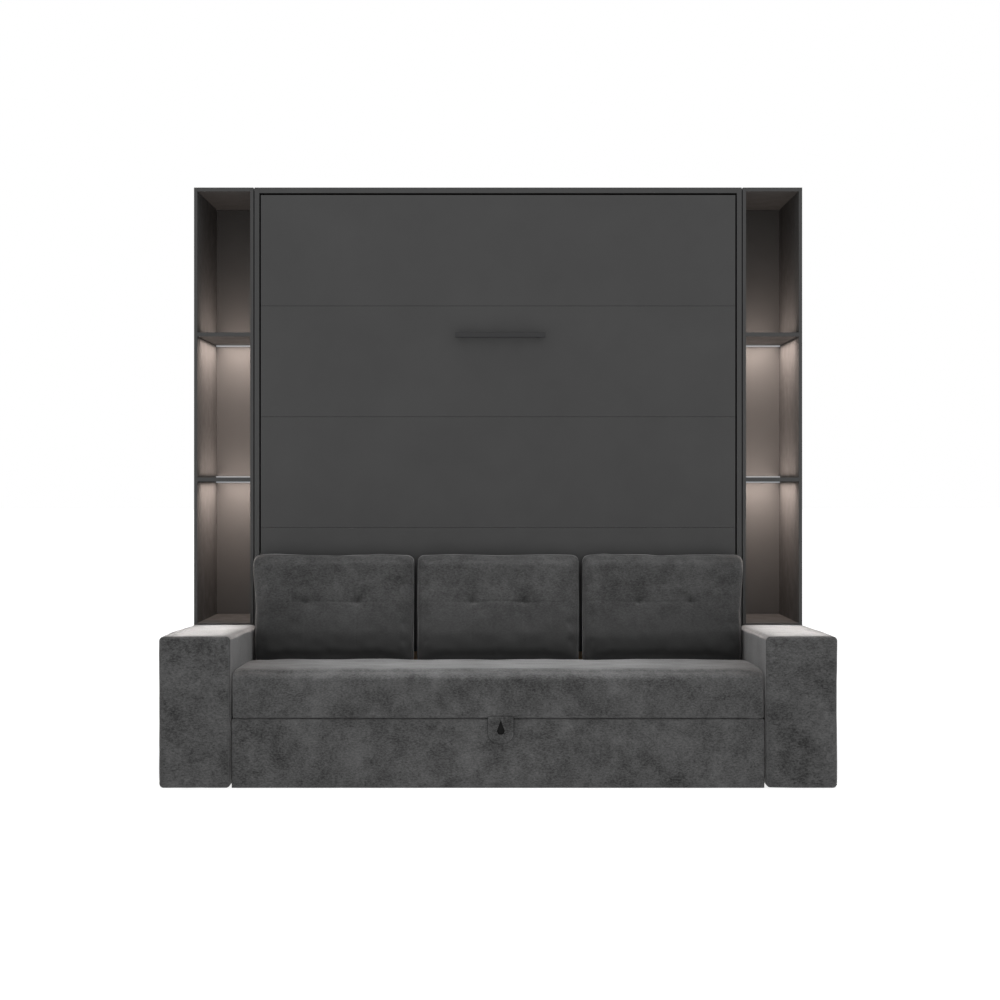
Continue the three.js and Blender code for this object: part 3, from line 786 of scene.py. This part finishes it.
def seat():
    """The long seat: round in front, and flat over its board."""
    low, high = corners("seat_cushion")
    board_low, board_high = corners("seat_board")
    bottom = board_low[2] + 0.8 * MM
    points, quads, _ = rounded_box(
        (low[0], low[1] + 2 * MM, bottom - 0.020),
        (high[0], high[1] - 2 * MM, high[2] - 5 * MM),
        (0.007, 0.085, 0.031),
        0.017,
        arc=8,
    )
    points, faces, normals = inflated(points, quads, voxel=None, pressure=3.0, cap=0.0055, rounds=4)
    top = step_up(normals[:, 2], 0.3, 0.9)
    sink = 1.6 * MM * waves(points, 0.14, 71) + 0.7 * MM * waves(points, 0.045, 72)
    points = points - normals * (sink * (0.35 + 0.65 * top))[:, None]
    rear = step_up(points[:, 1], low[1] + 0.1, high[1]) * step_up(points[:, 2], bottom, high[2])
    points[:, 2] -= SEAT_SAG * rear
    points[:, 0] = np.clip(points[:, 0], low[0] + 0.3 * MM, high[0] - 0.3 * MM)
    points[:, 1] = np.clip(points[:, 1], low[1] - 1.5 * MM, high[1])
    under = points[:, 2] < bottom + 4 * MM
    within = (np.abs(points[:, 0]) < board_high[0] + 1 * MM) & (points[:, 1] > board_low[1] - 1 * MM)
    within &= points[:, 1] < board_high[1] + 1 * MM
    points[:, 2] = np.clip(points[:, 2], bottom, high[2] + 1 * MM)
    lifted = under & within & (normals[:, 2] < -0.5)
    points[lifted, 2] = board_high[2] + 0.6 * MM
    cushion = make("seat_pad", points, faces, SOFA, "seat", "sofa_fabric")
    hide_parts("seat_cushion")


def arm(side):
    """An arm with crowned faces, puckered along the cord that is sewn round its front."""
    node = f"sofa_arm_{side}"
    low, high = corners(node)
    seed = 31 if side == "left" else 41
    points, quads, normals = rounded_box(low, high, ARM_RADIUS, 0.0125, arc=6)
    lift = crown(points, low, high, 2.6 * MM) - 0.2 * MM
    lift += 0.9 * MM * waves(points, 0.13, seed) + 0.3 * MM * waves(points, 0.03, seed + 1)
    by_edge = np.abs(points[:, 1] - (low[1] + 0.3 * ARM_RADIUS[1])) < 4 * MM
    pucker = np.sin((points[:, 0] + points[:, 2]) * 2 * math.pi / 0.02)
    lift -= by_edge * (0.5 + 0.3 * pucker) * MM
    points = points + normals * lift[:, None]
    sag = step_up(points[:, 1], low[1] + 0.1, high[1]) * step_up(points[:, 2], 0.3, high[2])
    points[:, 2] -= ARM_SAG * sag
    points[:, 2] = np.maximum(points[:, 2], low[2])
    inner = high[0] if side == "left" else low[0]
    points[:, 0] = inner + (points[:, 0] - inner) * (1 + ARM_PROUD / (high[0] - low[0]))
    points[:, 0] = np.minimum(points[:, 0], inner) if side == "left" else np.maximum(points[:, 0], inner)
    points[:, 1] = np.minimum(points[:, 1], high[1] + 1.5 * MM)
    piece = make(f"arm_{side}", points, quads, SOFA, "frame", "sofa_fabric")
    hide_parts(node)
    centre = (low[0] + high[0]) / 2
    edge = math.sqrt(0.5)
    inward = ARM_RADIUS[0] * (1 - edge) + 0.6 * MM
    ring = outline_ring(
        (high[0] - low[0]) / 2 - inward, low[2] + inward, high[2] - inward, [ARM_RADIUS[0] * edge] * 2, 0.006
    )
    y = low[1] + ARM_RADIUS[1] * (1 - edge) + 0.6 * MM
    path = np.stack([ring[:, 0] + centre, np.full(len(ring), y), ring[:, 1]], 1)
    cord, cord_faces = sweep(path, circle(1.2 * MM, 8), closed=True, side=(0, 1, 0))
    # the cord's lighter velvet is a painted highlight along the arm's front edges
    make(f"arm_{side}_seam", cord, cord_faces, SEAM_HIGHLIGHT, "frame", "sofa_fabric")


def base_front():
    """The upholstered front of the bedding box."""
    low, high = corners("base_front")
    below = np.array([0, 0, 0.008])  # cut off again at the floor, which leaves the lower edge square
    points, quads, normals = rounded_box(low + 0.4 * MM - below, high - 0.4 * MM, 0.006, 0.012, arc=4)
    lift = 0.5 * MM * waves(points, 0.12, 51) + 0.25 * MM * waves(points, 0.03, 52)
    points = points + normals * lift[:, None]
    points[:, 2] = np.maximum(points[:, 2], low[2])
    points[:, 0] = np.clip(points[:, 0], low[0], high[0])
    piece = make("base_front_panel", points, quads, SOFA, "frame", "sofa_fabric")
    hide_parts("base_front")


def curve_plate(name, rings, extrude, bevel, material, body, slot, plane_y):
    """A flat plate in x and z with round edges: the first ring is its outline, and the others are holes."""
    data = bpy.data.curves.new(name, "CURVE")
    data.dimensions = "2D"
    data.fill_mode = "BOTH"
    data.extrude = extrude
    data.bevel_depth = bevel
    data.bevel_resolution = 3
    data.offset = -bevel
    for ring in rings:
        spline = data.splines.new("POLY")
        spline.points.add(len(ring) - 1)
        for point, (x, z) in zip(spline.points, ring):
            point.co = (x, z, 0, 1)
        spline.use_cyclic_u = True
    work = bpy.data.objects.new(name + "_curve", data)
    scene.collection.objects.link(work)
    bpy.context.view_layer.update()
    points, faces, _ = evaluated(work)
    bpy.data.objects.remove(work)
    bpy.data.curves.remove(data)
    moved = np.stack([points[:, 0], plane_y - points[:, 2], points[:, 1]], 1)
    faces = [face[::-1] for face in faces]
    _, first, inverse = np.unique(np.round(moved, 6), axis=0, return_index=True, return_inverse=True)
    inverse = inverse.reshape(-1)
    faces = [[inverse[i] for i in face] for face in faces]
    return make(name, moved[first], faces, material, body, slot)


def pull_tab():
    """The cloth tab with its drop-shaped eye, a black sheet behind the eye as painted shadow and a dark cord
    round its outline as painted shadow.
    """
    low, high = corners("seat_pull_tab")
    centre = (low[0] + high[0]) / 2
    half = (high[0] - low[0]) / 2
    corner = 0.034
    turn = np.linspace(0, math.pi / 2, 9)
    outline = [(centre - half, high[2]), (centre - half, low[2] + corner)]
    left = centre - half + corner
    right = centre + half - corner
    outline += [(left - corner * math.cos(t), low[2] + corner * (1 - math.sin(t))) for t in turn]
    outline += [(right + corner * math.sin(t), low[2] + corner * (1 - math.cos(t))) for t in turn]
    outline += [(centre + half, high[2])]
    eye = 0.014  # the radius of the eye's round foot
    eye_z = low[2] + 0.030 + eye
    top = high[2] - 0.012
    hole = [(centre, top)]
    hole += [(centre + eye * math.cos(t), eye_z + eye * math.sin(t)) for t in np.linspace(0, -math.pi, 15)]
    middle = (low[1] + high[1]) / 2
    thick = high[1] - low[1]
    fabric = ("seat", "sofa_fabric")
    tab = curve_plate("pull_tab", [outline, hole], thick / 2 - 1.4 * MM, 1.2 * MM, SOFA, *fabric, middle)
    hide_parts("seat_pull_tab")
    # painted shadow: a black sheet behind the eye stands in for the shade inside the loop
    eye_shadow_ring = [(centre + (x - centre) * 1.25, z + (2 * MM if z > eye_z else -3 * MM)) for x, z in hole]
    behind = high[1] + 0.05 * MM
    eye_shadow = curve_plate("pull_tab_eye_shadow", [eye_shadow_ring], 0.25 * MM, 0.1 * MM, SHADOW, *fabric, behind)
    # painted shadow: a dark cord along the tab's sides and foot stands in for the shade round it
    path = np.array([(x, middle, z) for x, z in outline])
    outline_shadow = sweep(path, circle(1.5 * MM, 8), side=(0, 1, 0))
    edge = make("pull_tab_outline_shadow", *outline_shadow, TAB_SHADOW_CORD, *fabric)


seat()
arm("left")
arm("right")
base_front()
pull_tab()
back_cushions()

# ---- Mattress and its strap -----------------------------------------------------------------------------


def mattress():
    """The mattress, quilted in diamonds, with a rib along both of its edges."""
    low, high = corners("mattress")
    radius = 0.030
    puff = 7 * MM
    inner_high = high - [1.5 * MM, puff, 1.5 * MM]
    inner_low = low + [1.5 * MM, 1 * MM, 1.5 * MM]
    points, quads, normals = rounded_box(inner_low, inner_high, radius, 0.0145, arc=5)
    pitch = 0.17
    a = np.abs(np.sin(math.pi * (points[:, 0] + points[:, 2]) / pitch))
    b = np.abs(np.sin(math.pi * (points[:, 0] - points[:, 2]) / pitch))
    face = step_up(normals[:, 1], 0.55, 0.95)
    lift = puff * (np.minimum(a, b) ** 0.55) * face
    border = step_up(np.abs(normals[:, 1]) * -1, -0.5, -0.05)
    lift += border * 1.2 * MM * np.sin(2 * math.pi * points[:, 1] / 0.045)
    lift += 0.8 * MM * waves(points, 0.2, 61)
    points = points + normals * lift[:, None]
    points = np.clip(points, low, high)
    piece = make("mattress_pad", points, quads, TICKING, "bed", "mattress_cover")
    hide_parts("mattress")
    tapes = []
    half = (inner_high[0] - inner_low[0]) / 2
    edge = (math.sqrt(0.5) - 1) * radius
    for y in (inner_low[1] - edge, inner_high[1] + edge):
        ring = outline_ring(half + edge, inner_low[2] - edge, inner_high[2] + edge, (radius, radius), 0.02)
        path = np.stack([ring[:, 0], np.full(len(ring), y), ring[:, 1]], 1)
        tapes.append(sweep(path, circle(3.6 * MM, 10), closed=True, side=(0, 1, 0)))
    make("mattress_border_tape", *merged(*tapes), TAPE, "bed", "mattress_cover")


def strap():
    """The strap over the mattress, with its buckle."""
    low, high = corners("mattress_strap")
    thick = 2.0 * MM
    half_x = high[0] - thick / 2 - 0.1 * MM
    top_y = high[1] - thick / 2
    radius = 0.034
    path = [(half_x, low[1])]
    path += [(half_x, y) for y in np.linspace(low[1], top_y - radius, 6)[1:]]
    turn = np.linspace(0, math.pi / 2, 9)[1:]
    path += [(half_x - radius * (1 - math.cos(t)), top_y - radius + radius * math.sin(t)) for t in turn]
    path += [(x, top_y) for x in np.linspace(half_x - radius, 0, 24)[1:]]
    path += [(-x, y) for x, y in path[-2::-1]]
    z = (low[2] + high[2]) / 2
    half_z = (high[2] - low[2]) / 2
    soft = 0.8 * MM
    section = [(half_z, -thick / 2 + soft), (half_z, thick / 2 - soft), (half_z - soft, thick / 2)]
    section += [(u, thick / 2) for u in np.linspace(half_z - 4 * MM, -half_z + 4 * MM, 9)]
    section += [(-half_z + soft, thick / 2), (-half_z, thick / 2 - soft), (-half_z, -thick / 2 + soft)]
    section += [(-half_z + soft, -thick / 2)]
    section += [(u, -thick / 2) for u in np.linspace(-half_z + 4 * MM, half_z - 4 * MM, 9)]
    section += [(half_z - soft, -thick / 2)]
    points, faces = sweep([(x, y, z) for x, y in path], section, side=(0, 0, 1))
    piece = make("strap_band", points, faces, STRAP, "bed", "strap_webbing")
    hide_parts("mattress_strap")
    buckle_x = 0.30
    frame_ring = outline_ring(0.040, z - 0.026, z + 0.026, (0.008, 0.008), 0.004) + [0, 0]
    outer = [(x * 0.9 + buckle_x, (h - z) * 1.5 + z) for x, h in frame_ring]
    windows = []
    for shift in (-0.018, 0.018):
        windows.append([(x * 0.22 + buckle_x + shift, (h - z) * 1.22 + z) for x, h in frame_ring])
    rings = [outer, *windows]
    above = high[1] + 2.0 * MM
    buckle = curve_plate("strap_buckle", rings, 1.0 * MM, 0.8 * MM, PLASTIC, "bed", "strap_webbing", above)


mattress()
strap()

# ---- Hardware -------------------------------------------------------------------------------------------


def leg_feet():
    """Rubber caps on the folding leg's two pads. They are found from the leg's own points."""
    bar_half, bar_radius = 0.8, 0.0133
    pad_x, pad_half = 0.866, 0.0147
    points = np.array([v.co for v in NODES["folding_leg"].data.vertices], float)
    bar = points[np.abs(points[:, 0]) < bar_half][:, 1:].mean(0)
    for side, sign in (("left", -1), ("right", 1)):
        near = points[np.abs(points[:, 0] * sign - pad_x) < pad_half]
        centre = near[np.linalg.norm(near[:, 1:] - bar, axis=1) > bar_radius].mean(0)
        way = np.array([0, *(centre[1:] - bar)])
        profile = [(-6 * MM, 14.3 * MM), (-6 * MM, 16 * MM), (-1 * MM, 16.4 * MM), (0.8 * MM, 15.6 * MM),
                   (1.5 * MM, 14 * MM), (1.5 * MM, 10 * MM), (0.8 * MM, 9 * MM), (0.8 * MM, 4 * MM)]
        foot, faces = lathe(profile, centre, way)
        make(f"leg_foot_{side}", foot, faces, RUBBER, "leg", "leg_steel")


def fixings():
    """The pivots' washers, the struts' nuts and bolts, and the screw heads of the case plates."""
    _, pivot_y, pivot_z = PLACES["bed_swing"]
    _, stud_y, stud_z = PLACES["strut_left_swing"]
    ring = [(math.cos(t), math.sin(t)) for t in np.linspace(0, 2 * math.pi, 36, endpoint=False)]
    washer = [(-1.5 * MM, -2.9 * MM), (-1.1 * MM, -3.3 * MM), (1.1 * MM, -3.3 * MM), (1.5 * MM, -2.9 * MM),
              (1.5 * MM, 2.9 * MM), (1.1 * MM, 3.3 * MM), (-1.1 * MM, 3.3 * MM), (-1.5 * MM, 2.9 * MM)]
    nut = [(0, 5 * MM), (0, 7 * MM), (5.6 * MM, 7 * MM), (6.2 * MM, 6.4 * MM), (6.2 * MM, 3.8 * MM),
           (5.4 * MM, 3.6 * MM)]
    bolt = [(-9 * MM, 3.8 * MM), (0, 3.8 * MM), (0, 6.6 * MM), (2.6 * MM, 6.5 * MM), (3.8 * MM, 5.4 * MM),
            (4.3 * MM, 3.4 * MM), (2.4 * MM, 2.6 * MM)]
    screw = [(-0.3 * MM, 4.2 * MM), (0.2 * MM, 4.7 * MM), (0.8 * MM, 4.2 * MM), (1.1 * MM, 2.6 * MM),
             (0.5 * MM, 1.7 * MM)]
    by_pivot = [(-0.026, -0.028), (0.032, -0.028), (0.020, 0.110), (-0.022, 0.150)]
    by_stud = [(-0.020, 0.014), (0.026, -0.026)]
    spots = [(pivot_y + y, pivot_z + z) for y, z in by_pivot] + [(stud_y + y, stud_z + z) for y, z in by_stud]
    washer_x, nut_x, bolt_x = 0.929, 0.9283, 0.9352  # from the middle of the bed
    washer_radius = 0.0136
    for side, sign in (("left", -1), ("right", 1)):
        path = [(sign * washer_x, pivot_y + washer_radius * c, pivot_z + washer_radius * s) for c, s in ring]
        points, faces = sweep(path, washer, closed=True, side=(1, 0, 0))
        make(f"pivot_washer_{side}", points, faces, ZINC, "bed", "zinc_steel", smooth=False)
        points, faces = lathe(nut, (sign * nut_x, stud_y, stud_z), (-sign, 0, 0), sides=6)
        make(f"strut_nut_{side}", points, faces, ZINC, "frame", "zinc_steel", smooth=False)
        eye = corners(f"strut_rod_{side}")[0] + 9 * MM
        points, faces = lathe(bolt, (sign * bolt_x, eye[1], eye[2]), (sign, 0, 0))
        make(f"strut_bolt_{side}", points, faces, ZINC, "bed", "zinc_steel")
        face = sign * (np.abs(corners(f"case_mechanism_plate_{side}")).max(0)[0] - 3.5 * MM)
        heads = [lathe(screw, (face, y, z), (-sign, 0, 0), sides=18) for y, z in spots]
        make(f"case_screws_{side}", *merged(*heads), ZINC, "frame", "zinc_steel")


leg_feet()
fixings()

# ---- Niche lights ---------------------------------------------------------------------------------------

NICHE_LIGHT = (1.0, 0.82, 0.72)
WASH = 0.05  # watts
for side in ("left", "right"):
    for level, up, down in (("upper", 2.05, 6.4), ("lower", 2.5, 5.8)):
        low, high = corners(f"unit_{side}_shelf_{level}")
        x = (low[0] + high[0]) / 2
        size = (0.8 * (high[0] - low[0]), 0.39)
        y = high[1] - 0.205
        for way, z, power in (("down", low[2] - 0.004, down), ("up", high[2] + 0.004, up)):
            target = (x, y, 0 if way == "down" else 9)
            light = area_light(f"niche_{side}_{level}_{way}", (x, y, z), target, size, power, NICHE_LIGHT)
            light.visible_glossy = False
            # a narrow strip that washes the back board right beside the light bar
            out = -1 if way == "down" else 1
            place = (x, high[1] + 0.008, z + out * 0.004)
            target = (x, place[1] + 0.02, z + out * 0.03)
            strip = (1.2 * size[0], 0.008)
            light = area_light(f"wash_{side}_{level}_{way}", place, target, strip, WASH, NICHE_LIGHT)
            light.visible_glossy = False

# ---- Floor ----------------------------------------------------------------------------------------------

floor_mesh = bpy.data.meshes.new("floor")
floor_mesh.from_pydata([(-60, -60, 0), (60, -60, 0), (60, 60, 0), (-60, 60, 0)], [], [(0, 1, 2, 3)])
floor = bpy.data.objects.new("floor", floor_mesh)
scene.collection.objects.link(floor)
pale = Finish("pale_floor", roughness=0.9, Specular_IOR_Level=0.1, Emission_Strength=0.8)
pale.shader.inputs["Emission Color"].default_value = (1, 1, 1, 1)
pale.color(pale.ramp(pale.noise(0.5, 2), [(0.3, 0.29), (0.7, 0.31)]))
floor_mesh.materials.append(pale.material)
